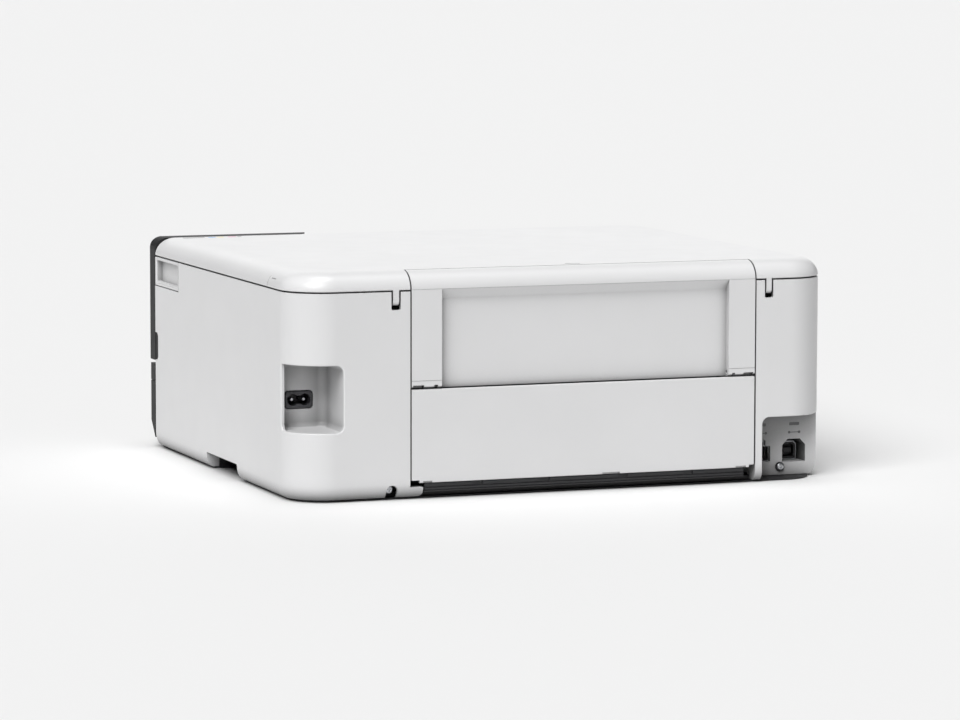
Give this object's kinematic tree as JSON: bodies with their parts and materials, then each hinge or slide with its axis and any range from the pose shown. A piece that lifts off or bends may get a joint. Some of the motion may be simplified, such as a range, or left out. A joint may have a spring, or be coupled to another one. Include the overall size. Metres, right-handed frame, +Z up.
{
  "type": "inkjet printer",
  "caption": "Compact white home all-in-one inkjet printer: flatbed scanner lid, pull-up rear paper support, tilting panel, cassette, output tray and moving ink carriage.",
  "frame": {"origin": "on the floor, under the middle of the printer's outer box", "axes": "+Z up, front faces -Y, rear faces +Y, +X is the right-hand side seen from the front and the longest side"},
  "size_m": [0.372, 0.324, 0.146],
  "materials": {
    "white_shell": "fine satin moulded plastic",
    "black_front": "semi-gloss moulded plastic",
    "dark_inner": "matte moulded plastic",
    "grey_inner": "matte moulded plastic",
    "steel": "plated sheet and ground shafts",
    "brass": "plated contacts and turned pulley",
    "rubber": "matte",
    "glass": "clear float glass",
    "screen": "glossy touch screen",
    "white_foam": "felt and foam",
    "board": "solder mask",
    "ink_black": "translucent tank",
    "ink_grey": "translucent tank",
    "ink_cyan": "translucent tank",
    "ink_magenta": "translucent tank",
    "ink_yellow": "translucent tank"
  },
  "bodies": {
    "base": {"base_chassis": "dark_inner", "foot_front_right": "rubber", "foot_front_left": "rubber", "foot_rear_right": "rubber", "foot_rear_left": "rubber", "right_side_cover": "white_shell", "left_side_cover": "white_shell", "port_screw": "steel", "shell_screw": "steel", "power_inlet": "dark_inner", "inlet_contacts": "brass", "usb_socket": "steel", "network_socket": "steel", "main_board": "board", "power_supply": "grey_inner", "waste_ink_absorber": "white_foam", "front_frame": "black_front", "hinge_bracket_right": "steel", "hinge_bracket_left": "steel", "hinge_pin_right": "steel", "hinge_pin_left": "steel", "print_frame": "steel", "carriage_rail": "steel", "platen": "dark_inner", "purge_unit": "grey_inner", "carriage_belt": "rubber", "belt_pulley": "brass", "carriage_motor": "steel", "feed_motor": "steel", "rear_feed_guide": "dark_inner"},
    "scanner_unit": {"scanner_housing": "white_shell", "scanner_top_frame": "white_shell", "scanner_glass": "glass", "scan_rail": "steel"},
    "scan_bar": {"scan_bar": "dark_inner"},
    "document_cover": {"document_cover": "white_shell", "document_pad": "white_foam"},
    "control_panel": {"control_panel": "black_front", "touch_screen": "screen"},
    "power_button": {"power_button": "grey_inner"},
    "stop_button": {"stop_button": "grey_inner"},
    "output_tray": {"output_tray": "black_front"},
    "output_tray_extension": {"output_tray_extension": "black_front"},
    "paper_cassette": {"paper_cassette": "black_front"},
    "paper_guide_right": {"paper_guide_right": "grey_inner"},
    "paper_guide_left": {"paper_guide_left": "grey_inner"},
    "paper_length_guide": {"paper_length_guide": "grey_inner"},
    "support_carrier": {"support_carrier": "grey_inner"},
    "paper_support": {"paper_support": "white_shell"},
    "rear_cover": {"rear_cover": "white_shell", "rear_paper_guide": "dark_inner"},
    "ink_carriage": {"ink_carriage": "dark_inner", "print_head": "steel", "ink_tank_black": "ink_black", "ink_tank_grey": "ink_grey", "ink_tank_cyan": "ink_cyan", "ink_tank_magenta": "ink_magenta", "ink_tank_yellow": "ink_yellow"},
    "feed_roller": {"feed_roller": "steel"},
    "eject_roller": {"eject_roller": "rubber"}
  },
  "joints": [
    {"name": "scanner_lift", "type": "hinge", "parent": "base", "child": "scanner_unit", "pos_m": [0, 0.154, 0.139], "axis": [-1, 0, 0], "range_deg": [0, 35]},
    {"name": "document_cover_hinge", "type": "hinge", "parent": "scanner_unit", "child": "document_cover", "pos_m": [0, 0.154, 0.139], "axis": [-1, 0, 0], "range_deg": [0, 80]},
    {"name": "scan_bar_slide", "type": "slide", "parent": "scanner_unit", "child": "scan_bar", "axis": [1, 0, 0], "range_m": [0, 0.296]},
    {"name": "control_panel_tilt", "type": "hinge", "parent": "base", "child": "control_panel", "pos_m": [0, -0.1565, 0.1284], "axis": [-1, 0, 0], "range_deg": [0, 60]},
    {"name": "power_button_press", "type": "slide", "parent": "control_panel", "child": "power_button", "axis": [0, 1, 0], "range_m": [0, 0.001], "stiffness_N_per_m": 400, "springref_m": -0.001},
    {"name": "stop_button_press", "type": "slide", "parent": "control_panel", "child": "stop_button", "axis": [0, 1, 0], "range_m": [0, 0.001], "stiffness_N_per_m": 400, "springref_m": -0.001},
    {"name": "output_tray_slide", "type": "slide", "parent": "base", "child": "output_tray", "axis": [0, -1, 0], "range_m": [0, 0.1]},
    {"name": "output_tray_extension_slide", "type": "slide", "parent": "output_tray", "child": "output_tray_extension", "axis": [0, -1, 0], "range_m": [0, 0.085]},
    {"name": "cassette_slide", "type": "slide", "parent": "base", "child": "paper_cassette", "axis": [0, -1, 0], "range_m": [0, 0.22]},
    {"name": "paper_guide_right_slide", "type": "slide", "parent": "paper_cassette", "child": "paper_guide_right", "axis": [-1, 0, 0], "range_m": [0, 0.055]},
    {"name": "paper_guide_left_slide", "type": "slide", "parent": "paper_cassette", "child": "paper_guide_left", "axis": [1, 0, 0], "range_m": [0, 0.055]},
    {"name": "paper_length_guide_slide", "type": "slide", "parent": "paper_cassette", "child": "paper_length_guide", "axis": [0, -1, 0], "range_m": [0, 0.1]},
    {"name": "rear_cover_pull", "type": "slide", "parent": "base", "child": "rear_cover", "axis": [0, 1, 0], "range_m": [0, 0.05]},
    {"name": "support_lift", "type": "slide", "parent": "base", "child": "support_carrier", "axis": [0, 0, -1], "range_m": [-0.065, 0]},
    {"name": "support_fold", "type": "hinge", "parent": "support_carrier", "child": "paper_support", "pos_m": [0, 0.1582, 0.0736], "axis": [1, 0, 0], "range_deg": [-28, 0]},
    {"name": "carriage_slide", "type": "slide", "parent": "base", "child": "ink_carriage", "axis": [-1, 0, 0], "range_m": [0, 0.245]},
    {"name": "feed_roller_spin", "type": "hinge", "parent": "base", "child": "feed_roller", "pos_m": [0, 0.048, 0.058], "axis": [1, 0, 0], "continuous": true},
    {"name": "eject_roller_spin", "type": "hinge", "parent": "base", "child": "eject_roller", "pos_m": [0, -0.032, 0.06], "axis": [1, 0, 0], "continuous": true}
  ],
  "couplings": [
    {"joint": "paper_guide_left_slide", "follows": "paper_guide_right_slide", "ratio": 1},
    {"joint": "eject_roller_spin", "follows": "feed_roller_spin", "ratio": 1.25}
  ]
}
